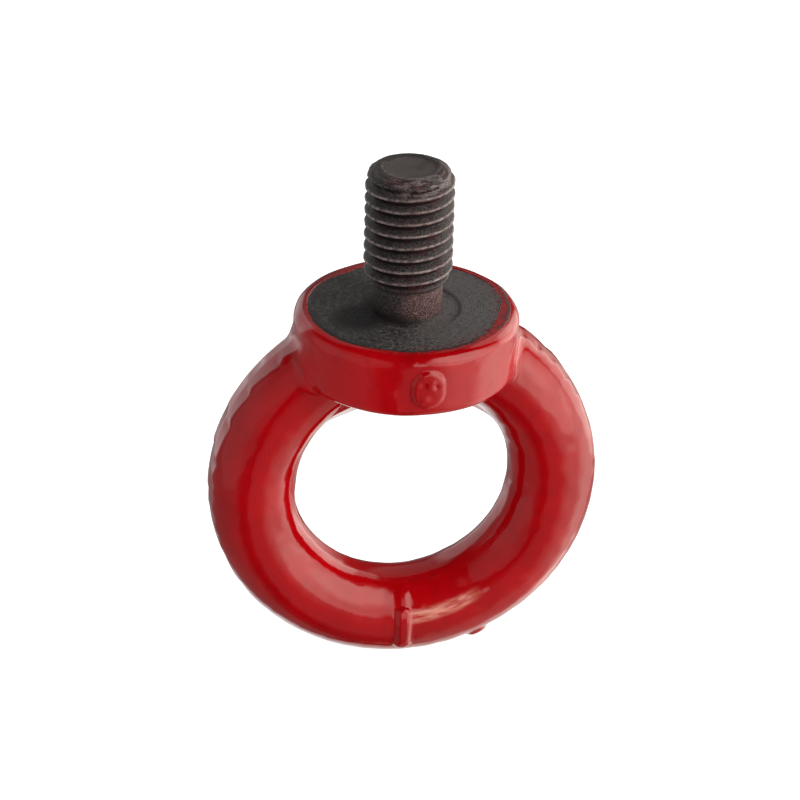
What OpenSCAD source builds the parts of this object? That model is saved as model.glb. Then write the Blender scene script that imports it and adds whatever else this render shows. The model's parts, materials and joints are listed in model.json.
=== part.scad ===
// Lifting eye bolt: one drop-forged steel body with a machined, threaded shank,
// a round collar with a machined seat, a closed lifting ring and a red enamel coat.
//
// Frame: the origin is the centre of the seat face, +Z runs along the shank to its
// tip, the ring lies in the XZ plane and its eye looks along Y. Millimetres.
//
// The forging is one piece of metal. It is drawn here as the zones that have their
// own shape and their own work to do, and they meet face to face.

/* [Shank] */
// Nominal thread diameter
thread_d = 12; // [10:0.5:12.5]
// Thread pitch
thread_pitch = 1.75; // [1.5:0.05:1.8]
// Number of full thread crests
crest_count = 8; // [5:1:8]
// Seat face to shank tip
shank_l = 20.5; // [20:0.5:30]
// Height of the top crest below the tip
tip_l = 2.1; // [2:0.1:3]
// Diameter of the relieved neck under the thread
neck_d = 9.4; // [7:0.1:9.6]
// Radius of the fillet at the foot of the neck
neck_fillet = 0.8; // [0.3:0.1:1.2]
// Diameter of the shallow dish in the tip
tip_dish_d = 6.8; // [4:0.1:7.4]
// Depth of the shallow dish in the tip
tip_dish_depth = 0.35; // [0.1:0.05:0.8]

/* [Collar] */
// Collar diameter over the enamel
collar_d = 30.4; // [29:0.1:31]
// Collar height over the enamel
collar_h = 9; // [8:0.1:10]
// Diameter of the machined seat face
seat_d = 26.9; // [24:0.1:27]
// Diameter of the turned recess round the neck
recess_d = 14; // [13.5:0.1:18]
// Depth of the turned recess
recess_depth = 0.3; // [0.1:0.05:0.6]
// Radius of the rounded lower edge, over the enamel
lower_edge_r = 1.3; // [0.8:0.1:1.6]

/* [Ring] */
// Outside diameter over the trimmed flash land
ring_d = 54; // [52:0.5:56]
// Diameter of the eye between its flash lands
eye_d = 30; // [29:0.5:30.5]
// Diameter of the ring's round section, over the enamel
section_d = 12.2; // [12.2:0.1:13]
// Seat face down to the centre of the eye
eye_drop = 26.3; // [25.5:0.1:27.5]
// Radius of the forged fillet at each shoulder
shoulder_r = 4; // [3:0.5:4.5]
// Width of the forged fillet at each shoulder
shoulder_w = 7; // [5:0.5:8]

/* [Enamel] */
// Thickness of the enamel coat
coat_t = 0.2; // [0.1:0.05:0.3]

/* [Raised marks] */
// Width of the blank oval pad on the collar
oval_w = 4.6; // [3:0.1:5]
// Height of the blank oval pad on the collar
oval_h = 5.4; // [5.1:0.1:5.8]
// How far the raised marks stand out
mark_rise = 0.5; // [0.3:0.1:0.8]
// Width of the rib across the bottom of the ring
rib_w = 2.2; // [1.5:0.1:3]
// Angle of the ring's section that the rib spans
rib_span = 64; // [40:2:80]
// Diameter of the round button low on the ring
button_d = 3; // [2:0.1:3.5]

/* [Hidden] */

steel = [0.22, 0.2, 0.2];
red = [0.66, 0.06, 0.09];
fine = 240;
room = 2;

// Basic 60 degree metric profile: flat crest of P/8, flat root of P/4, depth 5/8 H
crest_r = thread_d / 2;
root_r = crest_r - 0.54127 * thread_pitch;
crest_half = thread_pitch / 16;
flank_h = thread_pitch * 5 / 16;
top_crest_z = shank_l - tip_l;
thread_foot_z = top_crest_z - (crest_count - 1) * thread_pitch - crest_half - flank_h;

// Blunt tip: how far each corner lies in from the tip's side, and its depth as a share of tip_l
tip_step = 0.4;
tip_side_r = root_r + tip_step;
tip_corners = [[0, 0.55], [0.15, 0.3], [0.8, 0.08], [1.4, 0]];
dish_floor_r = tip_dish_d / 3;
dish_floor_depth = tip_dish_depth * 0.8;

recess_z = -recess_depth;
neck_r = neck_d / 2;

// The seat stands one coat thickness above the forged rim, so the enamel is flush
seat_r = seat_d / 2;
rim_r = collar_d / 2 - seat_r;
collar_side_r = collar_d / 2;
oval_share = 0.52;
oval_z = -oval_share * collar_h;
oval_turn = 1;

ring_mean_r = (ring_d + eye_d) / 4;
rib_turn = -91;
rib_middle = -88;
rib_root_r = section_d / 3;
rib_top_r = section_d / 2 + mark_rise;
button_turn = -65;
button_tilt = -22;

// Half-profile of one crest, from its lower root to its upper root
function crest_points(z) = [
    [root_r, z - crest_half - flank_h],
    [crest_r, z - crest_half],
    [crest_r, z + crest_half],
    [root_r, z + crest_half + flank_h]
];

// Crest heights from the foot of the thread upwards
function crest_z(i) = top_crest_z - (crest_count - 1 - i) * thread_pitch;

// Rounded blunt tip with a raised lip round its dish
function tip_points() = [
    for (corner = tip_corners) [tip_side_r - corner[0], shank_l - tip_l * corner[1]],
    [tip_dish_d / 2, shank_l],
    [dish_floor_r, shank_l - dish_floor_depth],
    [0, shank_l - tip_dish_depth]
];

module threaded_shank() {
    thread = [for (i = [0 : crest_count - 1]) each crest_points(crest_z(i))];
    outline = concat([[0, thread_foot_z]], thread, tip_points());
    color(steel) rotate_extrude($fn = fine) polygon(outline);
}

// Relieved neck: a plain turned cylinder with a fillet at its foot
module shank_neck() {
    color(steel) rotate_extrude($fn = fine) {
        translate([0, recess_z]) square([neck_r, thread_foot_z - recess_z]);
        difference() {
            translate([0, recess_z]) square([neck_r + neck_fillet, neck_fillet]);
            translate([neck_r + neck_fillet, recess_z + neck_fillet]) circle(neck_fillet);
        }
    }
}

// Half-profile of the collar with its rounded rim and lower edge.
// skin is how far the surface lies under the finished enamel.
module collar_profile(skin) {
    side_r = collar_side_r - skin;
    foot_z = skin - collar_h;
    foot_r = lower_edge_r - skin;
    top_r = rim_r - skin;
    translate([0, foot_z]) square([side_r - foot_r, -foot_z - skin]);
    translate([0, foot_z + foot_r]) square([side_r, -foot_z - foot_r - rim_r]);
    translate([side_r - foot_r, foot_z + foot_r]) circle(foot_r);
    translate([seat_r, -rim_r]) circle(top_r);
}

// Whole space that the steel collar closes off, up past the seat
module collar_space(skin) {
    rotate_extrude($fn = fine) {
        collar_profile(skin);
        translate([0, -rim_r]) square([seat_r, rim_r + room]);
    }
}

module collar() {
    color(steel) rotate_extrude($fn = fine) difference() {
        union() {
            collar_profile(coat_t);
            translate([0, -rim_r]) square([seat_r, rim_r]);
        }
        translate([0, recess_z]) square([recess_d / 2, room]);
    }
}

// Ring section cut flat on both sides where the flash was trimmed off
module ring_body(skin) {
    inner_r = eye_d / 2 + skin;
    outer_r = ring_d / 2 - skin;
    section_r = section_d / 2 - skin;
    translate([0, 0, -eye_drop]) rotate([90, 0, 0]) rotate_extrude($fn = fine) intersection() {
        translate([ring_mean_r, 0]) circle(section_r);
        translate([inner_r, -section_d]) square([outer_r - inner_r, 2 * section_d]);
    }
}

module ring() {
    color(steel) difference() {
        ring_body(coat_t);
        collar_space(coat_t);
    }
}

// Space filled by the forged fillet that carries the collar's side down on to the ring
module shoulder_space(side) {
    reach = collar_side_r + shoulder_r;
    arc_z = sqrt(pow(ring_d / 2 + shoulder_r, 2) - pow(reach, 2)) - eye_drop;
    share = ring_d / (ring_d + 2 * shoulder_r);
    toe_x = reach * share;
    toe_z = (arc_z + eye_drop) * share - eye_drop;
    mirror([side < 0 ? 1 : 0, 0, 0]) rotate([90, 0, 0])
        linear_extrude(height = shoulder_w, center = true) difference() {
            translate([collar_side_r - room, toe_z - room])
                square([toe_x - collar_side_r + room, arc_z - toe_z + room]);
            translate([reach, arc_z]) circle(shoulder_r, $fn = fine);
        }
}

module shoulder(side) {
    color(red) difference() {
        shoulder_space(side);
        collar_space(coat_t);
        ring_body(coat_t);
    }
}

module left_shoulder() {
    shoulder(-1);
}

module right_shoulder() {
    shoulder(1);
}

module collar_coat() {
    color(red) difference() {
        rotate_extrude($fn = fine) difference() {
            collar_profile(0);
            collar_profile(coat_t);
            translate([0, -rim_r]) square([seat_r, rim_r + room]);
        }
        ring_body(0);
        shoulder_space(-1);
        shoulder_space(1);
    }
}

module ring_coat() {
    color(red) difference() {
        ring_body(0);
        ring_body(coat_t);
        collar_space(coat_t);
        shoulder_space(-1);
        shoulder_space(1);
    }
}

// Blank oval pad that follows the collar's round side
module collar_oval_pad() {
    color(red) intersection() {
        rotate_extrude($fn = fine)
            translate([collar_side_r, oval_z - oval_h]) square([mark_rise, 2 * oval_h]);
        rotate([0, 0, oval_turn]) translate([0, 0, oval_z]) rotate([90, 0, 0])
            linear_extrude(height = collar_d) {
                for (end = [-1, 1]) translate([0, end * (oval_h - oval_w) / 2]) circle(oval_w / 2);
                square([oval_w, oval_h - oval_w], center = true);
            }
    }
}

// Moves to the centre of the ring's section at an angle round the eye, with
// local X pointing away from the eye and local Z along the ring
module at_section(turn) {
    translate([0, 0, -eye_drop]) rotate([0, -turn, 0])
        translate([ring_mean_r, 0, 0]) children();
}

// Plain raised rib across the bottom of the ring, on its front side
module ring_rib() {
    color(red) difference() {
        at_section(rib_turn)
            rotate([0, 0, rib_middle - rib_span / 2])
                rotate_extrude(angle = rib_span, $fn = fine)
                    translate([rib_root_r, -rib_w / 2])
                        square([rib_top_r - rib_root_r, rib_w]);
        ring_body(0);
    }
}

// Plain round button low on the ring
module ring_button() {
    color(red) difference() {
        at_section(button_turn) rotate([0, 0, button_tilt]) rotate([0, 90, 0])
            cylinder(d = button_d, h = section_d / 2 + mark_rise);
        ring_body(0);
    }
}

threaded_shank();
shank_neck();
collar();
ring();
left_shoulder();
right_shoulder();
collar_coat();
ring_coat();
collar_oval_pad();
ring_rib();
ring_button();
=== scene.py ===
"""Looks for the lifting eye bolt: machined shank and seat in blackened steel, and one
continuous coat of red enamel over collar, forged shoulders and ring. Built in millimetres
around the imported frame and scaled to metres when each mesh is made."""
import json
import math

import bmesh
import bpy
import numpy as np
from mathutils import Matrix, Vector


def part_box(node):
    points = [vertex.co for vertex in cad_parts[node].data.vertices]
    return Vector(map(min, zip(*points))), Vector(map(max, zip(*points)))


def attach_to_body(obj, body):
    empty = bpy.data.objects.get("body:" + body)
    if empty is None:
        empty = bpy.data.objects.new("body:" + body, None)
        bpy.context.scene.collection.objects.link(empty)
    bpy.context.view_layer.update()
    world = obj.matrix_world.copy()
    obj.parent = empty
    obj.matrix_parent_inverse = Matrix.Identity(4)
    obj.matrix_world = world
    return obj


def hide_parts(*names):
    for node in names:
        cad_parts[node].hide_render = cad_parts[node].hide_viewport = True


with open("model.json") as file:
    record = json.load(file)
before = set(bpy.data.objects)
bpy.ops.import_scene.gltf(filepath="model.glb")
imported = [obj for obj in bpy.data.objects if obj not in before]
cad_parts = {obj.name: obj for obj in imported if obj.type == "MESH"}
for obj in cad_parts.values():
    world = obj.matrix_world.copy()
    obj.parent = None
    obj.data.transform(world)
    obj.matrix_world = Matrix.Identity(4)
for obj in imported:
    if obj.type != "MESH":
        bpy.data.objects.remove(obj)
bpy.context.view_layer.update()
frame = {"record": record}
MM = 0.001


# ---------------------------------------------------------------- sizes from the frame
def box_mm(node):
    low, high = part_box(node)
    return np.array(low) / MM, np.array(high) / MM


def mount(name):
    return next(m for m in frame["record"]["mounts"] if m["name"] == name)


COAT_LOW, COAT_HIGH = box_mm("ring_coat")
COLLAR_LOW, COLLAR_HIGH = box_mm("collar_coat")
SHANK_HIGH = box_mm("threaded_shank")[1]
CREST_R = mount("shank_thread")["dims"]["r_mm"]
EYE_R = mount("eye_bore")["dims"]["r_mm"]
EYE_Z = mount("eye_bore")["pos_m"][2] / MM
RING_R = COAT_HIGH[0]
SECTION_R = COAT_HIGH[1]
MEAN_R = (RING_R + EYE_R) / 2
COLLAR_R = COLLAR_HIGH[0]
COLLAR_H = -COLLAR_LOW[2]
TIP_Z = SHANK_HIGH[2] + 0.15     # the lip round the tip's dish, a little higher than in CAD
FLOOR_Z = COAT_LOW[2]

RIM_R = 1.75             # rounding of the collar's rim
FOOT_R = 1.3             # rounding of the collar's lower edge
FILM_TOP = 0.1           # the enamel's edge on the seat stands this far above it
SEAT_R = 13.8            # machined seat, out to its edge under the paint
RECESS_R = 7.0           # turned recess round the neck
RECESS_DEPTH = 0.3
RECESS_TURN = math.radians(15)   # direction in which the recess is sharpest
NECK_R = 4.7
PITCH = 1.75
THREAD_DEPTH = 0.54127 * PITCH   # basic 60 degree metric profile
CELL = 0.36              # grid cell of the enamel's mesh


# ---------------------------------------------------------------- small numeric tools
def smooth_min(a, b, k):
    h = np.clip(0.5 + 0.5 * (b - a) / k, 0, 1)
    return b + (a - b) * h - k * h * (1 - h)


def smooth_max(a, b, k):
    return -smooth_min(-a, -b, k)


def step(x, start, end):
    t = np.clip((x - start) / (end - start), 0, 1)
    return t * t * (3 - 2 * t)


def bump_at(x, centre, width):
    return np.exp(-((x - centre) / width) ** 2)


def ripple(x, y, z, wavelength, seed, waves=14):
    """Smooth, repeatable noise of about unit size: waves in random directions, added."""
    rng = np.random.default_rng(seed)
    total = 0
    for _ in range(waves):
        way = rng.normal(size=3)
        way *= 2 * math.pi / (np.linalg.norm(way) * wavelength * rng.uniform(0.7, 1.4))
        total = total + np.sin(way[0] * x + way[1] * y + way[2] * z + rng.uniform(0, 2 * math.pi))
    return total * math.sqrt(2 / waves)


def wrapped(angle):
    return (angle + math.pi) % (2 * math.pi) - math.pi


# ---------------------------------------------------------------- enamel: the solid's field
# A field is below 0 inside its solid and above 0 outside, and is about the distance to its
# surface in millimetres.
SWELL_RISE = 0.03        # slow swell of the forging under the paint
RUN_RISE = 0.009         # runs in the paint on the ring
RIGHT_RUN_RISE = 0.005   # what its right side has on top
SKIN_RISE = 0.0022       # fine ripple in the paint's skin
NEXT_BITE = 2.2          # degrees over which one bite climbs back to the start of the next


def sawtooth(shortest, longest, low, high, seed):
    """Angles (degrees) and values of an uneven saw: each tooth starts high and falls to low."""
    rng = np.random.default_rng(seed)
    angles, values = [], []
    angle = -180
    while angle < 180:
        length = rng.uniform(shortest, longest)
        angles.extend([angle, angle + length - NEXT_BITE])
        values.extend([rng.uniform(0.7, 1) * high, low + rng.uniform(0, 0.3) * (high - low)])
        angle += length
    return np.array(angles), np.array(values)


# the flash was sheared off in short bites, which left a land of uneven width round the ring
FRONT_BITES = sawtooth(6, 15, 0.01, 0.17, seed=11)
BACK_BITES = sawtooth(6, 15, 0.01, 0.17, seed=12)
PUNCH_BITES = sawtooth(9, 26, 0.0, 0.09, seed=13)
TRIMMED_R = RING_R - 0.15
UNCUT_START = 138        # stretch of the eye's wall that the punch left standing, in degrees
UNCUT_END = 178
UNCUT_RISE = 0.3
# webs that the punch left in the eye's upper corners: direction and spread in degrees, rise
WEBS = ((118, 25, 2.3), (62, 26, 1.7))
WEB_FOOT = 0.4           # a web starts this far outside the eye's wall
WEB_REACH = 1.2          # how far it stands into the eye, for each mm of rise
WEB_HALF = 1.9           # its half thickness, for each mm of rise
WEB_EDGE = 0.1           # its half thickness where it runs out
WEB_SLOPE = 0.75         # how fast it recedes from its middle to its front and back


def bitten(bites, turn):
    return np.interp(np.degrees(turn), *bites)


def ring_field(x, y, z, fine):
    """Ring with a round section, cut flat where its flash was trimmed, and with its webs."""
    drop = z - EYE_Z
    reach = np.sqrt(x * x + drop * drop)
    turn = np.arctan2(drop, x)
    q = reach - MEAN_R
    d = np.sqrt(q * q + y * y) - SECTION_R
    if fine:
        d = d + SWELL_RISE * ripple(x, y, z, 12, 21)
        runs = RUN_RISE + RIGHT_RUN_RISE * step(x, -12, 12)
        d = d + runs * ripple(x, y, z, 2.8, 22) + SKIN_RISE * ripple(x, y, z, 1.3, 23)
    front, back = np.maximum(-y, 0), np.maximum(y, 0)
    degrees = np.degrees(turn)
    # the shear bit least on the right
    depth = 1 - 0.65 * bump_at(degrees, -15, 35)
    trim = TRIMMED_R - depth * (bitten(FRONT_BITES, turn) * front + bitten(BACK_BITES, turn) * back)
    d = smooth_max(d, reach - trim, 0.05)
    # the punch left the upper left of the eye's wall standing, and bit in below it
    uncut = step(degrees, UNCUT_START, UNCUT_START + 8) * step(degrees, UNCUT_END, UNCUT_END - 1.5)
    punch = EYE_R + 0.03 * np.sin(3 * turn + 0.6) + bitten(PUNCH_BITES, turn) * front
    punch = punch - UNCUT_RISE * uncut + 0.15 * bump_at(degrees, -168, 16)
    d = smooth_max(d, punch - reach, 0.1)
    return smooth_min(d, web_field(reach, degrees, y), 0.3)


def web_field(reach, degrees, y):
    """Tapered webs in the eye's two upper corners, as wedges that thin out along the ring."""
    rise = np.max([high * bump_at(degrees, turn, spread) for turn, spread, high in WEBS], axis=0)
    out = np.abs(y)
    inner = EYE_R + WEB_FOOT - WEB_REACH * rise + WEB_SLOPE * out - reach
    inner = inner / math.hypot(1, WEB_SLOPE)
    return np.maximum(np.maximum(inner, out - WEB_EDGE - WEB_HALF * rise), reach - MEAN_R)


def collar_field(x, y, z, fine):
    """Round collar with a rounded rim and lower edge."""
    rho = np.sqrt(x * x + y * y)
    middle = (FILM_TOP - COLLAR_H) / 2
    rounding = np.where(z > middle, RIM_R, FOOT_R)
    out = rho - (COLLAR_R - rounding)
    up = np.abs(z - middle) - ((FILM_TOP + COLLAR_H) / 2 - rounding)
    corner = np.sqrt(np.maximum(out, 0) ** 2 + np.maximum(up, 0) ** 2)
    d = np.minimum(np.maximum(out, up), 0) + corner - rounding
    if fine:
        side = step(z, 0, -1.5)
        d = d + side * (SWELL_RISE * ripple(x, y, z, 9, 4) + 0.007 * ripple(x, y, z, 2.5, 5))
        d = d + SWELL_RISE * step(z, -1.9, -1.2) * ripple(x, y, 0 * z, 4, 6)
    return d


PAD_TURN = math.radians(-88.6)
PAD_Z = -4.7
PAD_W = 4.6
PAD_H = 5.6
PAD_RISE = 0.48
# lumps and dents on the pad: place across and up, width, rise
PAD_GRIT = ((0.3, 0.7, 0.7, 0.2), (0.85, 0.55, 0.3, -0.26),
            (-0.6, -1.2, 0.55, 0.14), (-0.7, 0.9, 0.5, -0.14))


def oval_pad_field(x, y, z):
    """Blank oval pad on the collar, with the dents and grit of a rough forging."""
    across = COLLAR_R * wrapped(np.arctan2(y, x) - PAD_TURN)
    up = z - PAD_Z
    out = np.maximum(np.abs(up) - (PAD_H - PAD_W) / 2, 0)
    edge = np.sqrt(across * across + out * out) - PAD_W / 2
    plate = PAD_RISE * (1 - step(edge, -0.5, 0.12))
    inside = 1 - step(edge, -1.0, -0.6)
    rough = 0
    for side, height, width, rise in PAD_GRIT:
        rough = rough + rise * np.exp(-((across - side) ** 2 + (up - height) ** 2) / width ** 2)
    return plate + inside * rough


# grit and runs caught under the paint on the collar: direction in degrees, height, width, rise
NIBS = ((-106.5, -5.4, 0.3, 0.16), (-104, -7.6, 0.28, 0.13), (-96.5, -0.75, 0.5, 0.06),
        (-101, -2.4, 0.9, 0.05), (-128, -6.5, 0.8, 0.05), (-50, -6.2, 0.7, 0.06),
        (-60, -3.1, 0.9, 0.06), (60, -4, 0.4, 0.12), (118, -6, 0.35, 0.14))


def nib_height(x, y, z):
    """Height that the grit and runs add to the collar's side."""
    turn = np.arctan2(y, x)
    total = 0
    for angle, height, width, rise in NIBS:
        across = COLLAR_R * wrapped(turn - math.radians(angle))
        total = total + rise * np.exp(-(across * across + (z - height) ** 2) / width ** 2)
    return total


# places on the ring: turn is the angle round the eye, tilt the angle round the ring's section
RIB_TURN = math.radians(-91)
RIB_TOP = math.radians(-119)
RIB_END = math.radians(-57)
RIB_RISE = 0.55
BUTTON_TURN = math.radians(-66)
BUTTON_TILT = math.radians(-24)
BUTTON_RISE = 0.5
ROUGH_TURN = math.radians(-76)
ROUGH_TILT = math.radians(-107)
ROUGH_LENGTH = 5.5       # half length and half width of the rough patch
ROUGH_WIDTH = 1.9


def ring_marks(x, y, z):
    """Height that the rib, the button and the rough patch beside the rib add to the ring."""
    drop = z - EYE_Z
    reach = np.sqrt(x * x + drop * drop)
    turn = np.arctan2(drop, x)
    tube = np.arctan2(y, reach - MEAN_R)
    along = wrapped(turn - RIB_TURN) * reach
    middle = (RIB_TOP + RIB_END) / 2
    half = (RIB_END - RIB_TOP) / 2 * SECTION_R
    length = wrapped(tube - middle) * SECTION_R
    flare = 0.25 * step(length, half - 1.8, half - 0.4) + 0.12 * step(-length, half - 1.6, half)
    out = np.maximum(np.abs(length) - (half - 1.0), 0)
    edge = np.sqrt(along * along + out * out) - 0.95 - flare
    rib = RIB_RISE * (1 - step(edge, -0.45, 0.3))
    above = step(-length, half - 1, half) * (1 - step(-length, half + 1.6, half + 3.2))
    rib = np.maximum(rib, 0.16 * above * (1 - step(np.abs(along), 0.3, 1.2)))
    a = wrapped(turn - BUTTON_TURN) * reach
    b = wrapped(tube - BUTTON_TILT) * SECTION_R
    button = BUTTON_RISE * (1 - step(np.sqrt(a * a + b * b), 0.8, 1.9))
    a = wrapped(turn - ROUGH_TURN) * reach / ROUGH_LENGTH
    b = wrapped(tube - ROUGH_TILT) * SECTION_R / ROUGH_WIDTH
    patch = 1 - step(np.sqrt(a * a + b * b), 0.55, 1.1)
    lumps = 0.05 + 0.02 * ripple(0.35 * x, y, z, 1.5, 31) + 0.006 * ripple(0.35 * x, y, z, 0.8, 32)
    return rib + button + patch * lumps


PAINT_R = 13.35
# tongues of paint on the seat: direction and spread in degrees, how much the radius changes
TONGUES = ((-138, 28, 0.15), (-22, 27, -1.0), (119, 17, -0.8), (35, 25, -0.25), (-112, 12, -0.2))


def paint_edge(turn):
    """Radius on the seat at which the enamel starts, by direction."""
    deg = np.degrees(turn)
    radius = PAINT_R
    for middle, spread, change in TONGUES:
        radius = radius + change * bump_at(deg, middle, spread)
    ragged = 0.25 + bump_at(deg, -40, 45)
    teeth = np.sin(turn * 97) * np.sin(turn * 31 + 1) + 0.6 * np.sin(turn * 61 + 2)
    slow = np.sin(turn * 11 + 2) + 0.7 * np.sin(turn * 23) + 0.5 * np.sin(turn * 37 + 4)
    return radius + 0.03 * slow + 0.085 * ragged * teeth


def enamel_field(x, y, z, fine=True):
    """Collar, shoulders and ring in one coat, open round the seat. Marks come with fine."""
    rho = np.sqrt(x * x + y * y)
    ring = smooth_max(ring_field(x, y, z, fine), z + 2.4, 0.5)
    collar = collar_field(x, y, z, fine)
    # the forged fillet is tight all round, and wide only on the faces of the left shoulder
    left = step(-x, -4, 8)
    face = step(np.abs(y), 2, 6)
    upper = step(z, -8.6, -4.5)
    blend = 1.1 + upper * (0.05 + left * 2.2 * face)
    d = smooth_min(ring, collar, blend)
    if fine:
        near = step(np.abs(d), 3.0, 1.0)
        wall = near * step(rho, 12, 14)
        d = d - wall * (step(-y, 0, 6) * oval_pad_field(x, y, z) + nib_height(x, y, z))
        d = d - near * ring_marks(x, y, z)
    d = smooth_max(d, z - FILM_TOP, 0.06)
    cut = np.maximum(rho - paint_edge(np.arctan2(y, x)), -0.35 - z)
    return smooth_max(d, -cut, 0.05)


def coarse_field(x, y, z):
    return enamel_field(x, y, z, fine=False)


# ---------------------------------------------------------------- enamel: from field to mesh
def gradient(field, points, reach=0.02):
    slopes = []
    for axis in range(3):
        shift = np.zeros(3)
        shift[axis] = reach
        slopes.append(field(*(points + shift).T) - field(*(points - shift).T))
    return np.stack(slopes, 1) / (2 * reach)


def pull_to_surface(field, points, rounds=3):
    for _ in range(rounds):
        slope = gradient(field, points)
        size = np.maximum((slope * slope).sum(1), 0.05)
        move = field(*points.T) / size
        points = points - np.clip(move, -0.3, 0.3)[:, None] * slope
    return points


def net_surface(field, low, high, cell):
    """Quads over field = 0: one point in each grid cell that the surface crosses."""
    counts = np.ceil((high - low) / cell).astype(int) + 1
    xs, ys, zs = (low[i] + cell * np.arange(counts[i]) for i in range(3))
    values = np.empty(counts, np.float32)
    slab = 12
    for i in range(0, counts[0], slab):
        grid = np.meshgrid(xs[i:i + slab], ys, zs, indexing="ij")
        values[i:i + slab] = field(*grid)
    solid = values < 0
    count = np.zeros(counts - 1, np.int8)
    for dx in (0, 1):
        for dy in (0, 1):
            for dz in (0, 1):
                count += solid[dx:counts[0] - 1 + dx, dy:counts[1] - 1 + dy, dz:counts[2] - 1 + dz]
    crossed = (count > 0) & (count < 8)
    number = np.full(counts - 1, -1, np.int64)
    cells = np.argwhere(crossed)
    number[crossed] = np.arange(len(cells))
    points = low + cell * (cells + 0.5)
    quads = []
    for axis in range(3):
        b, c = (axis + 1) % 3, (axis + 2) % 3
        first = [slice(None)] * 3
        second = [slice(None)] * 3
        first[axis], second[axis] = slice(0, -1), slice(1, None)
        for other in (b, c):
            first[other] = second[other] = slice(1, -1)
        here, there = solid[tuple(first)], solid[tuple(second)]
        for rising in (True, False):
            spots = np.argwhere((here & ~there) if rising else (~here & there))
            for other in (b, c):
                spots[:, other] += 1
            around = []
            for db, dc in ((-1, -1), (0, -1), (0, 0), (-1, 0)):
                cell_at = spots.copy()
                cell_at[:, b] += db
                cell_at[:, c] += dc
                around.append(number[tuple(cell_at.T)])
            quad = np.stack(around, 1)
            quads.append(quad if rising else quad[:, ::-1])
    return points, np.concatenate(quads)


def relax(points, quads, field, rounds):
    """Evens out the quads: each point moves towards its neighbours, then back on the surface."""
    ends = np.concatenate([quads[:, [i, (i + 1) % 4]] for i in range(4)])
    ends = np.concatenate([ends, ends[:, ::-1]])
    share = np.bincount(ends[:, 0], minlength=len(points))[:, None]
    for _ in range(rounds):
        sums = [np.bincount(ends[:, 0], points[ends[:, 1], k], len(points)) for k in range(3)]
        points = 0.4 * points + 0.6 * np.stack(sums, 1) / np.maximum(share, 1)
        points = pull_to_surface(field, points, 1)
    return points


def make_object(name, points, faces):
    """Smooth-shaded mesh object from points in millimetres and a list of faces."""
    mesh = bpy.data.meshes.new(name)
    mesh.from_pydata((points * MM).tolist(), [], faces)
    mesh.update()
    mesh.polygons.foreach_set("use_smooth", [True] * len(mesh.polygons))
    piece = bpy.data.objects.new(name, mesh)
    bpy.context.scene.collection.objects.link(piece)
    return piece


def refine(piece, chosen):
    """Cuts into four each face that chosen(centres in millimetres) picks."""
    mesh = piece.data
    centres = np.empty(len(mesh.polygons) * 3)
    mesh.polygons.foreach_get("center", centres)
    pick = chosen(centres.reshape(-1, 3) / MM)
    bm = bmesh.new()
    bm.from_mesh(mesh)
    bm.faces.ensure_lookup_table()
    edges = {edge for i in np.flatnonzero(pick) for edge in bm.faces[i].edges}
    bmesh.ops.subdivide_edges(bm, edges=list(edges), cuts=1, use_grid_fill=True)
    bm.to_mesh(mesh)
    bm.free()
    for polygon in mesh.polygons:
        polygon.use_smooth = True


def mesh_points(mesh):
    flat = np.empty(len(mesh.vertices) * 3)
    mesh.vertices.foreach_get("co", flat)
    return flat.reshape(-1, 3) / MM


def set_points(mesh, points):
    mesh.vertices.foreach_set("co", (points * MM).ravel())
    mesh.update()


def near_details(points):
    """True where the enamel needs finer quads: its edge on the seat, the marks and the webs."""
    x, y, z = points.T
    rho = np.sqrt(x * x + y * y)
    rim = (z > -1.2) & (rho > 11.5)
    beside_pad = np.abs(wrapped(np.arctan2(y, x) - PAD_TURN)) * COLLAR_R
    pad = (beside_pad < 3) & (np.abs(z - PAD_Z) < 3.4) & (rho > 14)
    marks = ring_marks(x, y, z) > 0.01
    in_eye = x * x + (z - EYE_Z) ** 2 < (EYE_R + 1.2) ** 2
    web = in_eye & (z > EYE_Z + 6) & (z < -COLLAR_H) & (np.abs(y) < 4)
    return rim | pad | marks | web


GRID_MARGIN = 0.8


def build_enamel():
    low = np.array([-RING_R, -COLLAR_R, COAT_LOW[2]]) - GRID_MARGIN
    high = np.array([RING_R, COLLAR_R, FILM_TOP]) + GRID_MARGIN
    points, quads = net_surface(coarse_field, low, high, CELL)
    points = pull_to_surface(coarse_field, points)
    points = relax(points, quads, coarse_field, 3)
    points = pull_to_surface(enamel_field, points)
    piece = make_object("red_enamel", points, quads.tolist())
    refine(piece, near_details)
    set_points(piece.data, pull_to_surface(enamel_field, mesh_points(piece.data)))
    return piece


# ---------------------------------------------------------------- turned steel
def revolve(name, profile_r, profile_z, segments, warp):
    """Closed solid of revolution whose outline starts and ends on the axis.
    warp(turn, r, z) may move its points out or up."""
    turn = np.arange(segments) * 2 * math.pi / segments
    r = np.repeat(profile_r[1:-1, None], segments, 1)
    z = np.repeat(profile_z[1:-1, None], segments, 1)
    a = np.repeat(turn[None], len(r), 0)
    r, z = warp(a, r, z)
    body = np.stack([r * np.cos(a), r * np.sin(a), z], -1).reshape(-1, 3)
    ends = np.array([[0, 0, profile_z[0]], [0, 0, profile_z[-1]]])
    points = np.concatenate([body, ends])
    rings = len(profile_r) - 2
    i = np.arange(segments)
    j = (i + 1) % segments
    faces = []
    for k in range(rings - 1):
        base = k * segments
        above = base + segments
        faces.extend(np.stack([base + i, base + j, above + j], 1).tolist())
        faces.extend(np.stack([base + i, above + j, above + i], 1).tolist())
    start, end = len(body), len(body) + 1
    top = (rings - 1) * segments
    faces.extend([start, after, this] for this, after in zip(i.tolist(), j.tolist()))
    faces.extend([end, top + this, top + after] for this, after in zip(i.tolist(), j.tolist()))
    return make_object(name, points, faces)


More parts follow.
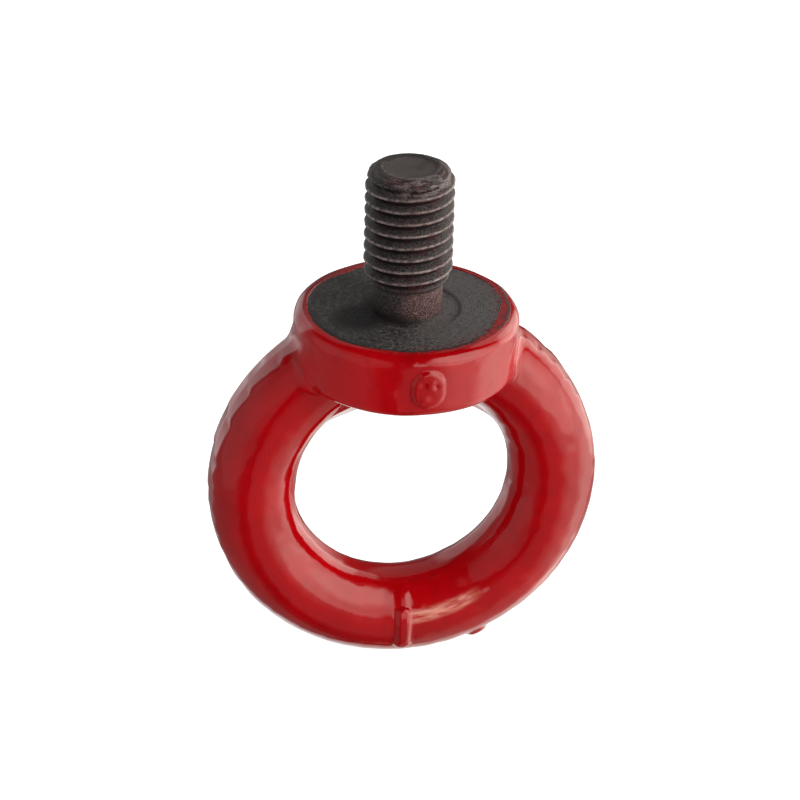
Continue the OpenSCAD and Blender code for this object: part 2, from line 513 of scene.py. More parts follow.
def resample(corners, spacing):
    """Points along a polyline of (r, z) corners, at an even spacing that keeps each corner."""
    out = [corners[0]]
    for (r0, z0), (r1, z1) in zip(corners[:-1], corners[1:]):
        parts = max(1, math.ceil(math.hypot(r1 - r0, z1 - z0) / spacing))
        out.extend((r0 + (r1 - r0) * k / parts, z0 + (z1 - z0) * k / parts) for k in range(1, parts + 1))
    return np.array(out)


CREST_FRONT = 18.28     # height of the top crest on the side that faces the camera
FRONT_TURN = math.radians(-101)     # direction of that side
GROOVE_START = math.radians(-150)   # direction and height at which the lowest groove starts
GROOVE_FOOT = 4.75
NECK_TOP = 4.0          # where the relieved neck starts to widen into the thread
FILLET_R = 0.2          # fillet at the neck's foot, tighter than in CAD
CREST_HALF = 0.0625     # half width of the crest, in pitches
ROOT_START = 0.375      # where the flank meets the root, in pitches from the crest
SHANK_ROW = 0.1
SHANK_COLUMNS = 256
SEAT_ROW = 0.1
SEAT_COLUMNS = 224
# turned outline that the thread is cut into, from its relief to the blunt tip: height, radius
SHANK_OUTLINE = ((NECK_TOP, NECK_R), (NECK_TOP + 0.7, 5.35), (5.9, CREST_R), (18.7, CREST_R),
                 (19.4, 5.72), (19.9, 5.55), (20.15, 5.25), (20.35, 4.8), (TIP_Z - 0.08, 4.3),
                 (TIP_Z, 3.95))
# dish in the tip, from its lip inwards: radius, depth
TIP_DISH = ((3.75, 0.01), (3.5, 0.06), (3.25, 0.16), (2.95, 0.24), (2.4, 0.27), (1.4, 0.25), (0, 0.23))


def thread_phase(turn, z):
    """Pitches above the nearest crest of the right-hand thread, -0.5 to 0.5."""
    climb = PITCH * (turn - FRONT_TURN) / (2 * math.pi)
    return ((z - CREST_FRONT - climb) / PITCH + 0.5) % 1 - 0.5


def snap_to_edges(turn, z):
    """Moves each point to the thread edge within half a row of it, so that edges stay crisp."""
    phase = thread_phase(turn, z)
    for feature in (-ROOT_START, -CREST_HALF, CREST_HALF, ROOT_START):
        off = (feature - phase) * PITCH
        z = np.where(np.abs(off) <= SHANK_ROW / 2, z + off, z)
    return z


def shank_envelope(z):
    heights, radii = zip(*SHANK_OUTLINE)
    return np.interp(z, heights, radii)


def shank_warp(turn, r, z):
    """Cuts the thread into the turned shank, with scale all over and worn spots on the crests."""
    threaded = (z > NECK_TOP + 0.2) & (z < TIP_Z - 0.3) & (r > NECK_R)
    z = np.where(threaded, snap_to_edges(turn, z), z)
    phase = np.abs(thread_phase(turn, z))
    cut = CREST_R - THREAD_DEPTH * np.clip((phase - CREST_HALF) / (ROOT_START - CREST_HALF), 0, 1)
    # the lowest groove starts at one place, so the steel before it is left uncut
    travel = (z - GROOVE_FOOT) / PITCH - wrapped(turn - GROOVE_START) / (2 * math.pi)
    cut = cut + 2 * (1 - step(travel, -0.6, -0.54))
    x, y = r * np.cos(turn), r * np.sin(turn)
    scale = 0.012 * ripple(x, y, z, 1.6, 41) + 0.010 * ripple(x, y, z, 0.7, 42)
    worn = -0.05 * step(ripple(x, y, z, 2.4, 43), 1.2, 2.2) * step(phase, 0.2, 0.05)
    outside = np.minimum(shank_envelope(z), cut) + scale + worn
    neck = (z > 0.6) & (z <= NECK_TOP + 0.2)
    r = np.where(threaded, outside, np.where(neck, r + scale, r))
    return r, z


def build_shank():
    fillet = [(NECK_R + FILLET_R * (1 - math.sin(t)), -RECESS_DEPTH + FILLET_R * (1 - math.cos(t)))
              for t in np.linspace(0, math.pi / 2, 7)]
    rows = round((TIP_Z - NECK_TOP) / SHANK_ROW)
    side = [(shank_envelope(z), z) for z in np.linspace(NECK_TOP, TIP_Z, rows)]
    dish = [(r, TIP_Z - depth) for r, depth in TIP_DISH]
    buried = -RECESS_DEPTH - 0.4
    below = resample([(0, buried), (NECK_R + FILLET_R, buried)] + fillet, 0.25)
    neck = resample([fillet[-1], (NECK_R, NECK_TOP)], 0.25)
    outline = np.concatenate([below, neck[1:-1], side, resample(dish, 0.3)])
    return revolve("threaded_shank_steel", outline[:, 0], outline[:, 1], SHANK_COLUMNS, shank_warp)


def seat_warp(turn, r, z):
    """Adds tool marks, grain and dents to the seat, and fades the recess away from the right."""
    x, y = r * np.cos(turn), r * np.sin(turn)
    top = (z > -RECESS_DEPTH - 0.01) & (r < SEAT_R - 0.2)
    lines = 0.002 * np.sin(r * 2 * math.pi / 0.31) + 0.002 * np.sin(r * 2 * math.pi / 0.83 + 1)
    grain = 0.008 * ripple(x, y, 0 * x, 1.1, 8) + 0.012 * ripple(x, y, 0 * x, 5, 9)
    dents = -0.03 * step(ripple(x, y, 0 * x, 2.6, 10), 1.6, 2.4)
    # the turned recess is only sharp on the right of the neck, where the tool cut deepest
    fade = 0.93 * (1 - step(np.cos(turn - RECESS_TURN), 0.3, 0.8))
    z = np.where(top, z * (1 - fade), z)
    return r, z + top * (lines + grain + dents) * step(r, 0, 4)


def build_seat():
    """Steel collar: its seat and recess in fine rows, the rest coarse because paint covers it."""
    slope = [(RECESS_R - 0.7 + 1.4 * t, -RECESS_DEPTH * (1 - step(t, 0, 1))) for t in np.linspace(0, 1, 9)]
    corners = [(0, -RECESS_DEPTH)] + slope + [(SEAT_R - 0.1, 0), (SEAT_R, -0.1), (SEAT_R, -2.2)]
    side_r = COLLAR_R - 0.6
    foot_z = -COLLAR_H + 0.5
    under = [(side_r, -2.6), (side_r, foot_z + 0.9), (side_r - 1.0, foot_z), (0, foot_z)]
    top = resample(corners, SEAT_ROW)
    rest = resample([corners[-1]] + under, 1.5)
    outline = np.concatenate([top, rest[1:]])[::-1]
    return revolve("collar_steel", outline[:, 0], outline[:, 1], SEAT_COLUMNS, seat_warp)


# ---------------------------------------------------------------- materials
class Net:
    """Short forms for the nodes of a material or of the world."""

    def __init__(self, tree):
        self.nodes = tree.nodes
        self.links = tree.links

    def put(self, socket, value):
        if isinstance(value, bpy.types.NodeSocket):
            self.links.new(value, socket)
        else:
            socket.default_value = value

    def maths(self, kind, *values):
        node = self.nodes.new("ShaderNodeMath")
        node.operation = kind
        for socket, value in zip(node.inputs, values):
            self.put(socket, value)
        return node.outputs[0]

    def product(self, first, *others):
        for other in others:
            first = self.maths("MULTIPLY", first, other)
        return first

    def total(self, first, *others):
        for other in others:
            first = self.maths("ADD", first, other)
        return first

    def edge(self, value, start, end, low=0.0, high=1.0):
        """Smooth step from low at start to high at end."""
        node = self.nodes.new("ShaderNodeMapRange")
        node.interpolation_type = "SMOOTHSTEP"
        self.links.new(value, node.inputs["Value"])
        self.put(node.inputs["From Min"], start)
        self.put(node.inputs["From Max"], end)
        self.put(node.inputs["To Min"], low)
        self.put(node.inputs["To Max"], high)
        return node.outputs["Result"]

    def split(self, vector):
        node = self.nodes.new("ShaderNodeSeparateXYZ")
        self.links.new(vector, node.inputs[0])
        return node.outputs

    def vector(self, x, y, z):
        node = self.nodes.new("ShaderNodeCombineXYZ")
        for socket, value in zip(node.inputs, (x, y, z)):
            self.put(socket, value)
        return node.outputs[0]

    def place(self):
        """Position on the object, in millimetres."""
        where = self.nodes.new("ShaderNodeTexCoord")
        node = self.nodes.new("ShaderNodeVectorMath")
        node.operation = "SCALE"
        self.links.new(where.outputs["Object"], node.inputs[0])
        node.inputs["Scale"].default_value = 1 / MM
        return node.outputs[0]

    def noise(self, where, size, detail=2.0):
        """Noise of about 0.3 to 0.7 whose lumps are size millimetres wide."""
        node = self.nodes.new("ShaderNodeTexNoise")
        self.links.new(where, node.inputs["Vector"])
        node.inputs["Scale"].default_value = 1 / size
        node.inputs["Detail"].default_value = detail
        return node.outputs[0]

    def mix(self, share, first, second):
        node = self.nodes.new("ShaderNodeMix")
        node.data_type = "RGBA"
        sockets = [socket for socket in node.inputs if socket.type == "RGBA"]
        self.put(node.inputs["Factor"], share)
        for socket, colour in zip(sockets, (first, second)):
            self.put(socket, colour if isinstance(colour, bpy.types.NodeSocket) else (*colour, 1))
        return next(socket for socket in node.outputs if socket.type == "RGBA")

    def bump(self, height, rise, under=None):
        """Bump of height 0 to 1, rise millimetres tall, on top of an earlier one."""
        node = self.nodes.new("ShaderNodeBump")
        node.inputs["Distance"].default_value = rise * MM
        self.links.new(height, node.inputs["Height"])
        if under:
            self.links.new(under, node.inputs["Normal"])
        return node.outputs[0]

    def polar(self, where):
        """Distance from the shank's axis, direction in degrees and height."""
        x, y, z = self.split(where)
        rho = self.maths("SQRT", self.total(self.product(x, x), self.product(y, y)))
        return rho, self.product(self.maths("ARCTAN2", y, x), 180 / math.pi), z

    def towards(self, where, turn, start, end):
        """1 on the side of the object that faces turn (degrees), 0 on the other side."""
        x, y, _ = self.split(where)
        rho, _, _ = self.polar(where)
        a = math.radians(turn)
        along = self.total(self.product(x, math.cos(a)), self.product(y, math.sin(a)))
        return self.edge(self.maths("DIVIDE", along, self.total(rho, 0.01)), start, end)

    def spot(self, where, centre, width):
        """1 near centre (millimetres), 0 from width millimetres away."""
        node = self.nodes.new("ShaderNodeVectorMath")
        node.operation = "DISTANCE"
        self.links.new(where, node.inputs[0])
        node.inputs[1].default_value = centre
        return self.edge(node.outputs["Value"], width, width * 0.4)


def new_material(name):
    material = bpy.data.materials.new(name)
    material.use_nodes = True
    net = Net(material.node_tree)
    return material, net, net.nodes["Principled BSDF"]


def on_shank(turn, rho, z):
    a = math.radians(turn)
    return (rho * math.cos(a), rho * math.sin(a), z)


DEEP_RED = (0.335, 0.0006, 0.0026)
BRIGHT_RED = (0.385, 0.0010, 0.0034)
THIN_RED = (0.33, 0.022, 0.024)
DARK_RED = (0.12, 0.003, 0.006)
# painted light and painted shade, which make up for shading that the studio light doesn't give: they
# aren't paint variation
PAINTED_LIGHT_RED = (0.50, 0.0016, 0.0048)      # collar's front left
PAINTED_SHADE_RED = (0.265, 0.0006, 0.0024)     # ring's outer right and bottom
CLOUDED_RED = (0.25, 0.0010, 0.0030)
BARE_STEEL = (0.055, 0.045, 0.043)
SHANK_BLACK = (0.014, 0.011, 0.011)
SHANK_GREY = (0.088, 0.073, 0.073)
GROOVE_SHADE_BLACK = (0.008, 0.005, 0.006)
PAINTED_LIGHT_AND_DISH_GREY = (0.105, 0.089, 0.089)
WORN_STEEL = (0.30, 0.245, 0.24)
RUBBED_AND_HIGHLIGHT_STEEL = (0.26, 0.22, 0.22)
MIST_RED = (0.085, 0.012, 0.016)
SEAT_BLACK = (0.028, 0.0255, 0.0265)
SEAT_GREY = (0.135, 0.124, 0.127)
SCUFF_AND_HIGHLIGHT = (0.80, 0.36, 0.27)
RUSTY_STEEL = (0.24, 0.165, 0.155)
SHADE_AND_EDGE_BLACK = (0.014, 0.010, 0.010)
DARK_PATCH_BLACK = (0.009, 0.008, 0.008)
SPECK_RED = (0.16, 0.004, 0.008)
DARK_PATCH_AT = (-7.0, -2.6, -0.1)
DARK_PATCH_WIDTH = 5.0
# paint specks on the tip: direction, distance from the axis, height, width
TIP_SPECKS = ((-128, 4.7, TIP_Z - 0.4, 1.2), (-108, 4.8, TIP_Z - 0.5, 1.0), (-86, 4.9, TIP_Z - 0.5, 1.3))


def scuff_and_highlight_patch(net, where):
    """Pale streaks along the ring, beside the rib: partly gloss rubbed off, partly painted highlight."""
    x, y, z = net.split(where)
    drop = net.total(z, -EYE_Z)
    reach = net.maths("SQRT", net.total(net.product(x, x), net.product(drop, drop)))
    turn = net.product(net.maths("ARCTAN2", drop, x), 180 / math.pi)
    tilt = net.product(net.maths("ARCTAN2", y, net.total(reach, -MEAN_R)), 180 / math.pi)
    middle = net.edge(turn, -90, -64, math.degrees(ROUGH_TILT) + 2, math.degrees(ROUGH_TILT) - 1)
    away = net.maths("ABSOLUTE", net.maths("SUBTRACT", tilt, middle))
    along = net.product(turn, MEAN_R * math.pi / 180 * 0.16)
    across = net.product(tilt, SECTION_R * math.pi / 180)
    streaks = net.noise(net.vector(along, across, 0.0), 0.6, 3.0)
    ends = net.product(net.edge(turn, -89.5, -86), net.edge(turn, -55, -66))
    inside = net.product(net.edge(away, 12, 3), ends)
    return net.product(inside, net.edge(streaks, 0.34, 0.62, 0.15, 1.0), 0.62)


def enamel_material():
    """Glossy paint: cloudy and mottled, with painted light on the collar's front left and
    painted shade on the ring's outer right and bottom, worn through in a line on the rim, dull and thin at
    its edge on the seat."""
    material, net, shader = new_material("red_enamel_gloss")
    where = net.place()
    rho, turn, z = net.polar(where)
    cloudy = net.edge(net.noise(where, 7.0, 3.0), 0.36, 0.64)
    colour = net.mix(cloudy, DEEP_RED, BRIGHT_RED)
    on_collar = net.product(net.edge(rho, 16.0, 15.5), net.edge(z, -9.3, -8.6))
    # painted light: the collar's front left is made lighter
    painted_light = net.product(on_collar, net.towards(where, -140, 0.68, 1.0), 0.8)
    colour = net.mix(painted_light, colour, PAINTED_LIGHT_RED)
    # painted shade: the ring's outer right and its bottom are made darker
    outer_right = net.product(net.edge(net.split(where)[0], 20.5, 26), 0.85)
    bottom = net.product(net.edge(z, -43, -50), 0.55)
    colour = net.mix(net.maths("MAXIMUM", outer_right, bottom), colour, PAINTED_SHADE_RED)
    mottled = net.product(net.edge(net.noise(where, 1.6, 4.0), 0.5, 0.72), 0.26)
    colour = net.mix(mottled, colour, CLOUDED_RED)
    dust = net.product(net.edge(net.noise(where, 0.55, 1.0), 0.70, 0.76), 0.5)
    colour = net.mix(dust, colour, DARK_RED)
    ragged = net.noise(where, 0.7, 3.0)
    fine = net.noise(where, 0.3, 2.0)
    near_seat = net.product(net.edge(z, -0.5, -0.15), net.edge(rho, 14.3, 13.6))
    front_right = net.towards(where, -30, 0.2, 0.8)
    thin = net.product(near_seat, net.edge(ragged, 0.42, 0.6), 0.75)
    colour = net.mix(thin, colour, THIN_RED)
    specks = net.product(near_seat, front_right, net.edge(ragged, 0.5, 0.57), 0.7)
    colour = net.mix(specks, colour, DARK_RED)
    # the line that a nut or a washer wore through the paint, on the right of the rim
    line_r = net.edge(turn, 0, 18, 13.75, 14.2)
    wander = net.total(rho, net.product(ragged, 0.5), -0.25)
    beside = net.maths("ABSOLUTE", net.maths("SUBTRACT", wander, line_r))
    ends = net.product(net.edge(turn, -44, -30), net.edge(turn, 34, 18), net.edge(z, -1.2, -0.9))
    worn = net.product(net.edge(beside, 0.34, 0.14), ends, net.edge(fine, 0.36, 0.5))
    colour = net.mix(worn, colour, BARE_STEEL)
    # pale streaks beside the rib: partly rubbed gloss, partly painted highlight
    scuff_and_highlight = scuff_and_highlight_patch(net, where)
    colour = net.mix(scuff_and_highlight, colour, SCUFF_AND_HIGHLIGHT)
    net.put(shader.inputs["Base Color"], colour)
    gloss = net.edge(net.noise(where, 2.6, 4.0), 0.35, 0.7, 0.06, 0.1)
    dull = net.maths("MAXIMUM", net.product(worn, 0.5), net.product(near_seat, 0.16))
    net.put(shader.inputs["Roughness"], net.total(gloss, dull))
    skin = net.bump(net.noise(where, 1.5, 3.0), 0.015)
    skin = net.bump(net.noise(where, 0.45, 2.0), 0.0036, skin)
    skin = net.bump(net.product(net.total(near_seat, worn), ragged), 0.05, skin)
    net.put(shader.inputs["Normal"], skin)
    return material


def shank_material():
    """Blackened thread: painted shade on lower flanks and roots, painted light on grey upper flanks,
    crests worn bright, and red mist from the ring's paint.
    """
    material, net, shader = new_material("blackened_thread")
    where = net.place()
    rho, turn, z = net.polar(where)
    climb = net.product(net.total(turn, -math.degrees(FRONT_TURN)), -1 / 360)
    pitches = net.total(net.product(net.total(z, -CREST_FRONT), 1 / PITCH), climb, 0.5)
    phase = net.total(net.maths("FRACT", pitches), -0.5)
    off_crest = net.maths("ABSOLUTE", phase)
    threaded = net.edge(z, NECK_TOP + 0.4, NECK_TOP + 1.1)
    threaded = net.product(threaded, net.edge(z, TIP_Z - 1.0, TIP_Z - 1.4))
    fine = net.noise(where, 0.2, 4.0)
    middling = net.noise(where, 0.8, 3.0)
    broad = net.noise(where, 3.5, 2.0)
    colour = net.mix(net.edge(fine, 0.40, 0.66), SHANK_BLACK, SHANK_GREY)
    # painted shade and painted light: from the crest down the lower flank and root are painted black as
    # shade, from the crest up the upper flank is painted grey as light
    groove = net.maths("MAXIMUM", net.edge(phase, -0.04, -0.10), net.edge(phase, 0.30, 0.42))
    groove = net.product(groove, threaded, net.edge(middling, 0.2, 0.5, 0.8, 1.0))
    colour = net.mix(net.product(groove, 0.94), colour, GROOVE_SHADE_BLACK)
    painted_light_flank = net.product(net.edge(phase, 0.05, 0.12), net.edge(phase, 0.40, 0.18), threaded)
    colour = net.mix(net.product(painted_light_flank, net.edge(fine, 0.38, 0.62), 0.8), colour, PAINTED_LIGHT_AND_DISH_GREY)
    on_crest = net.product(net.edge(off_crest, 0.15, 0.05), threaded)
    worn = net.product(on_crest, net.edge(middling, 0.38, 0.6, 0.3, 1.0))
    worn = net.product(worn, net.edge(fine, 0.32, 0.5, 0.45, 1.0))
    colour = net.mix(worn, colour, WORN_STEEL)
    right_front = net.towards(where, -50, -0.3, 0.9)
    lower_crest = net.product(net.edge(phase, -0.20, -0.08), net.edge(phase, 0.10, 0.0), threaded)
    mist = net.product(right_front, lower_crest, net.edge(broad, 0.3, 0.6, 0.4, 1.0))
    scattered = net.product(right_front, net.edge(net.total(middling, net.product(broad, 0.5)), 0.74, 0.9))
    mist = net.maths("MAXIMUM", mist, net.product(scattered, 0.6))
    mist = net.product(mist, net.edge(fine, 0.40, 0.54))
    neck = net.product(net.edge(z, NECK_TOP + 0.8, NECK_TOP - 0.4), net.edge(z, -0.2, 0.6))
    neck = net.product(neck, net.towards(where, -35, 0.05, 0.6))
    speckle = net.product(neck, net.edge(fine, 0.40, 0.54))
    red = net.maths("MAXIMUM", mist, net.product(speckle, 0.85))
    for turn_at, rho_at, z_at, width in TIP_SPECKS:
        spot = net.spot(where, on_shank(turn_at, rho_at, z_at), width)
        red = net.maths("MAXIMUM", red, net.product(spot, net.edge(fine, 0.44, 0.54)))
    colour = net.mix(net.product(red, 0.85), colour, MIST_RED)
    grit = net.product(neck, net.edge(net.noise(where, 0.15, 2.0), 0.5, 0.6), 0.75)
    colour = net.mix(grit, colour, RUSTY_STEEL)
    # painted shadow at the neck's foot, on its left
    foot_shadow = net.product(net.edge(z, 1.6, 0.0), net.towards(where, 195, -0.2, 0.7), 0.9)
    colour = net.mix(foot_shadow, colour, SHADE_AND_EDGE_BLACK)
    dish = net.product(net.edge(rho, 3.5, 3.1), net.edge(z, TIP_Z - 1.0, TIP_Z - 0.6))
    colour = net.mix(net.product(dish, net.edge(broad, 0.36, 0.6, 0.35, 0.9)), colour, PAINTED_LIGHT_AND_DISH_GREY)
    tip = net.product(net.edge(rho, 3.6, 4.2), net.edge(z, TIP_Z - 2.4, TIP_Z - 1.7))
    streaks = net.noise(net.vector(net.product(turn, 0.025), rho, z), 0.5, 3.0)
    rubbed = net.product(tip, net.edge(streaks, 0.44, 0.6), net.edge(fine, 0.34, 0.5))
    rubbed = net.product(rubbed, net.edge(net.towards(where, -35, -0.6, 0.8), 0, 1, 0.2, 0.7))
    colour = net.mix(rubbed, colour, RUBBED_AND_HIGHLIGHT_STEEL)
    # the lip round the dish, lighter on the front: partly worn, partly painted highlight
    off_lip = net.maths("ABSOLUTE", net.total(rho, -TIP_DISH[0][0]))
    lip = net.product(net.edge(off_lip, 0.32, 0.1), net.edge(z, TIP_Z - 0.9, TIP_Z - 0.5))
    lip = net.product(lip, net.edge(middling, 0.36, 0.56, 0.1, 0.75), net.towards(where, -110, -0.5, 0.5))
    colour = net.mix(lip, colour, RUBBED_AND_HIGHLIGHT_STEEL)
    net.put(shader.inputs["Base Color"], colour)
    shader.inputs["Metallic"].default_value = 0.3
    net.put(shader.inputs["Specular IOR Level"], net.edge(groove, 0, 1, 0.5, 0.1))
    rough = net.total(fine, net.product(worn, -0.25))
    net.put(shader.inputs["Roughness"], net.edge(rough, 0.1, 0.7, 0.32, 0.68))
    grain = net.bump(middling, 0.05)
    grain = net.bump(fine, 0.035, grain)
    net.put(shader.inputs["Normal"], grain)
    return material


def seat_material():
    """Turned and blackened seat: tool marks round the shank, coarse grain, a dark patch left of the neck,
    painted light on its right and painted shade at the neck's foot and on the recess's step.
    """
    material, net, shader = new_material("blackened_seat")
    where = net.place()
    rho, _, _ = net.polar(where)
    fine = net.noise(where, 0.16, 2.0)
    coarse = net.noise(where, 0.5, 3.0)
    broad = net.noise(where, 4.0, 3.0)
    wavy = net.total(rho, net.product(broad, 0.12))
    lines = net.total(net.product(net.maths("SINE", net.product(wavy, 2 * math.pi / 0.42)), 0.5), 0.5)
    wide_lines = net.total(net.product(net.maths("SINE", net.product(wavy, 2 * math.pi / 1.3)), 0.5), 0.5)
    # painted light: the seat is made lighter on its right, and its tool marks are painted stronger there
    # as a painted sheen
    right_side = net.towards(where, -10, -0.5, 0.8)
    strong = net.edge(right_side, 0.0, 1.0, 0.03, 0.17)
    tone = net.total(net.product(coarse, 0.85), net.product(fine, 0.5), net.product(broad, 0.25), -0.15)
    tone = net.total(tone, net.product(lines, strong), net.product(wide_lines, 0.05))
    tone = net.total(tone, net.product(right_side, 0.12))
    colour = net.mix(net.edge(tone, 0.54, 0.94), SEAT_BLACK, SEAT_GREY)
    # darker patch on the seat, left of the neck
    dark_patch = net.spot(where, DARK_PATCH_AT, DARK_PATCH_WIDTH)
    dark_patch = net.product(dark_patch, net.edge(coarse, 0.3, 0.55, 0.6, 0.95))
    colour = net.mix(dark_patch, colour, DARK_PATCH_BLACK)
    # painted shade round the neck's foot, on its left
    corner = net.product(net.edge(rho, 6.6, 5.2), net.towards(where, 195, -0.3, 0.6), 0.85)
    colour = net.mix(corner, colour, SHADE_AND_EDGE_BLACK)
    # painted shade: a dark line along the recess's step, on the right
    off_step = net.maths("ABSOLUTE", net.total(rho, -RECESS_R - 0.1))
    step_shade = net.product(net.edge(off_step, 0.35, 0.1), net.towards(where, 15, 0.35, 0.85), 0.6)
    colour = net.mix(step_shade, colour, SHADE_AND_EDGE_BLACK)
    rim_line = net.product(net.edge(rho, 12.6, 13.3), net.towards(where, -100, -0.2, 0.5),
                           net.edge(coarse, 0.3, 0.55, 0.4, 0.85))
    colour = net.mix(rim_line, colour, SHADE_AND_EDGE_BLACK)
    near_paint = net.product(net.edge(rho, 11.0, 12.9), net.towards(where, -42, 0.3, 0.85))
    specks = net.product(near_paint, net.edge(net.noise(where, 0.6, 3.0), 0.52, 0.57), 0.9)
    colour = net.mix(specks, colour, SPECK_RED)
    net.put(shader.inputs["Base Color"], colour)
    shader.inputs["Metallic"].default_value = 0.3
    net.put(shader.inputs["Roughness"], net.edge(coarse, 0.3, 0.7, 0.42, 0.66))
    marks = net.bump(net.product(lines, right_side), 0.004)
    marks = net.bump(coarse, 0.08, marks)
    marks = net.bump(fine, 0.035, marks)
    net.put(shader.inputs["Normal"], marks)
    return material


# ---------------------------------------------------------------- stage, lights, camera
def direction(azimuth, elevation):
    """Unit vector: azimuth 0 towards the front (-Y), positive to the right (+X)."""
    a, e = math.radians(azimuth), math.radians(elevation)
    return Vector((math.sin(a) * math.cos(e), -math.cos(a) * math.cos(e), math.sin(e)))


AIM = Vector((0, 0, -15 * MM))
COOL_LIGHT = (1.0, 0.99, 0.99)
WARM_LIGHT = (1.0, 0.97, 0.89)

# Soft boxes and bounce light, as seen from the object. Each: azimuth and elevation of the
# centre, half width, half height (degrees), edge softness (share of the half size), radiance.
GLOWS = (
    (-66, 12, 46, 36, 0.12, 0.2),      # weak fill panel, left
    (-48, 22, 26, 20, 0.8, 0.12),      # its middle
    (-118, -30, 74, 62, 0.3, 0.2),     # left half of the table
    (12, -32, 32, 30, 0.8, 0.22),      # table in front
    (48, 22, 41, 41, 0.22, 1.45),      # key box
    (52, 34, 30, 28, 0.7, 1.7),        # its hotter upper part
    (66, -16, 40, 30, 0.9, 1.2),       # its bounce off the table
    (0, 9, 9, 15, 0.4, 1.6),           # small lamp beside the camera
    (117, 7, 24, 30, 0.3, 1.65),       # second box, right and behind
    (119, 34, 23, 24, 0.25, 1.2),      # its upper spill
    (110, -20, 42, 36, 0.5, 1.0),      # table in front of it
    (160, -56, 50, 22, 0.4, 1.1),      # table behind
    (80, -62, 50, 24, 0.6, 0.5),       # table under the right side
    (-153, 6, 20, 30, 0.4, 0.8),       # bright gap, left and behind
    (176, 44, 46, 22, 0.3, 0.3),       # back wall, high up
)
# Black flags, which dim what lies behind them; the last number is the share they take away.
FLAGS = (
    (87, 54, 9, 30, 0.3, 0.94),        # between the two boxes
    (-21, 7, 4, 40, 0.8, 0.7),         # left of the camera
    (-24, -48, 12, 28, 0.5, 0.6),      # its foot on the table
    (136, -36, 17, 9, 0.5, 0.65),      # shadow on the table behind
)
AMBIENT_LOW = 0.06       # how much more dim light comes from the sides and below than from above
AMBIENT_HIGH = 0.01      # dim light from above


def build_world():
    """Studio that the object sees as soft panels and flags. The camera sees plain white."""
    world = bpy.data.worlds.new("studio")
    bpy.context.scene.world = world
    world.use_nodes = True
    net = Net(world.node_tree)
    net.nodes.clear()
    where = net.nodes.new("ShaderNodeTexCoord")
    x, y, z = net.split(where.outputs["Generated"])
    degrees = 180 / math.pi
    azimuth = net.product(net.maths("ARCTAN2", x, net.product(y, -1)), degrees)
    elevation = net.product(net.maths("ARCSINE", z), degrees)

    def inside(centre, height, width, tall, soft):
        turned = net.maths("FLOORED_MODULO", net.total(azimuth, 180 - centre), 360)
        across = net.maths("DIVIDE", net.maths("SUBTRACT", turned, 180), width)
        up = net.maths("DIVIDE", net.maths("SUBTRACT", elevation, height), tall)
        away = net.maths("SQRT", net.total(net.product(across, across), net.product(up, up)))
        return net.edge(away, 1 + soft / 2, 1 - soft / 2)

    light = net.edge(elevation, 58, 22, AMBIENT_HIGH, AMBIENT_HIGH + AMBIENT_LOW)
    for *shape, radiance in GLOWS:
        light = net.total(light, net.product(inside(*shape), radiance))
    for *shape, share in FLAGS:
        light = net.product(light, net.maths("SUBTRACT", 1, net.product(inside(*shape), share)))
    warm = net.product(net.edge(azimuth, -20, 30), net.edge(azimuth, 180, 150))
    studio = net.nodes.new("ShaderNodeBackground")
    net.put(studio.inputs["Color"], net.mix(warm, COOL_LIGHT, WARM_LIGHT))
    net.put(studio.inputs["Strength"], light)
    white = net.nodes.new("ShaderNodeBackground")
    white.inputs["Color"].default_value = (1, 1, 1, 1)
    path = net.nodes.new("ShaderNodeLightPath")
    both = net.nodes.new("ShaderNodeMixShader")
    out = net.nodes.new("ShaderNodeOutputWorld")
    net.put(both.inputs[0], path.outputs["Is Camera Ray"])
    net.put(both.inputs[1], studio.outputs[0])
    net.put(both.inputs[2], white.outputs[0])
    net.put(out.inputs[0], both.outputs[0])


FILL_FROM = (-46, 2)     # azimuth and elevation
FILL_DISTANCE = 0.8
FILL_SIZE = 0.35
FILL_WATTS = 1.75


def build_fill():
    """Soft light from the left front that lifts the paint's own colour and leaves no reflection."""
    lamp = bpy.data.lights.new("fill", "AREA")
    lamp.shape = "DISK"
    lamp.size = FILL_SIZE
    lamp.energy = FILL_WATTS
    fill = bpy.data.objects.new("fill", lamp)
    bpy.context.scene.collection.objects.link(fill)
    back = direction(*FILL_FROM)
    fill.location = AIM + back * FILL_DISTANCE
    fill.rotation_euler = back.to_track_quat("Z", "Y").to_euler()
    fill.visible_glossy = False
    fill.visible_camera = False


FLOOR_HALF = 3.0
FLOOR_GREY = (0.5, 0.5, 0.5, 1)
FLOOR_GLOW = 0.93        # lifts the floor to plain white


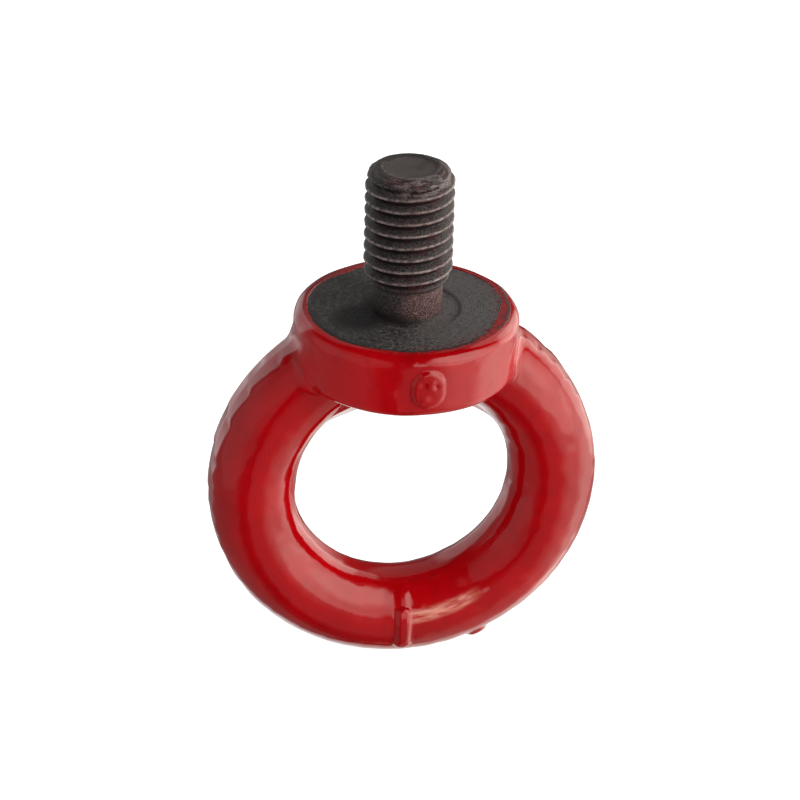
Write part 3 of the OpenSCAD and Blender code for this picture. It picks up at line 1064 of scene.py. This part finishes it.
def build_floor():
    corners = [(side * FLOOR_HALF, end * FLOOR_HALF, FLOOR_Z * MM)
               for side, end in ((-1, -1), (1, -1), (1, 1), (-1, 1))]
    mesh = bpy.data.meshes.new("studio_floor")
    mesh.from_pydata(corners, [], [(0, 1, 2, 3)])
    floor = bpy.data.objects.new("studio_floor", mesh)
    bpy.context.scene.collection.objects.link(floor)
    material, _, shader = new_material("pale_floor")
    shader.inputs["Base Color"].default_value = FLOOR_GREY
    shader.inputs["Roughness"].default_value = 0.9
    shader.inputs["Emission Color"].default_value = (1, 1, 1, 1)
    shader.inputs["Emission Strength"].default_value = FLOOR_GLOW
    mesh.materials.append(material)
    floor.visible_glossy = False
    floor.visible_diffuse = False
    floor.visible_shadow = False


CAMERA_FROM = (-10.77, 28.65)    # azimuth and elevation
CAMERA_DISTANCE = 0.5
CAMERA_LENS = 165.0
CAMERA_PAN = math.radians(-0.065)
CAMERA_TILT = math.radians(0.057)
CAMERA_ROLL = math.radians(1.6)


def build_camera():
    camera_data = bpy.data.cameras.new("camera")
    camera_data.sensor_width = 36
    camera_data.lens = CAMERA_LENS
    camera_data.clip_start = 0.01
    camera = bpy.data.objects.new("camera", camera_data)
    bpy.context.scene.collection.objects.link(camera)
    back = direction(*CAMERA_FROM)
    location = AIM + back * CAMERA_DISTANCE
    forward = -back
    right = forward.cross(Vector((0, 0, 1))).normalized()
    up = right.cross(forward)
    forward = (forward + math.tan(CAMERA_PAN) * right + math.tan(CAMERA_TILT) * up).normalized()
    right = (right - right.dot(forward) * forward).normalized()
    up = right.cross(forward)
    side = right * math.cos(CAMERA_ROLL) + up * math.sin(CAMERA_ROLL)
    top = -right * math.sin(CAMERA_ROLL) + up * math.cos(CAMERA_ROLL)
    turn = Matrix((side, top, -forward)).transposed()
    camera.matrix_world = Matrix.Translation(location) @ turn.to_4x4()
    bpy.context.scene.camera = camera


# ---------------------------------------------------------------- assembly
def attach(piece, slot, material, *nodes):
    piece.data.materials.append(material)
    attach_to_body(piece, "root")
    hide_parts(*nodes)


build_camera()
build_world()
build_floor()
build_fill()
attach(build_enamel(), "red_enamel", enamel_material(), "collar_coat", "ring_coat", "left_shoulder",
       "right_shoulder", "collar_oval_pad", "ring_rib", "ring_button", "ring")
attach(build_shank(), "black_steel", shank_material(), "threaded_shank", "shank_neck")
attach(build_seat(), "black_steel", seat_material(), "collar")
bpy.context.scene.view_settings.view_transform = "Standard"
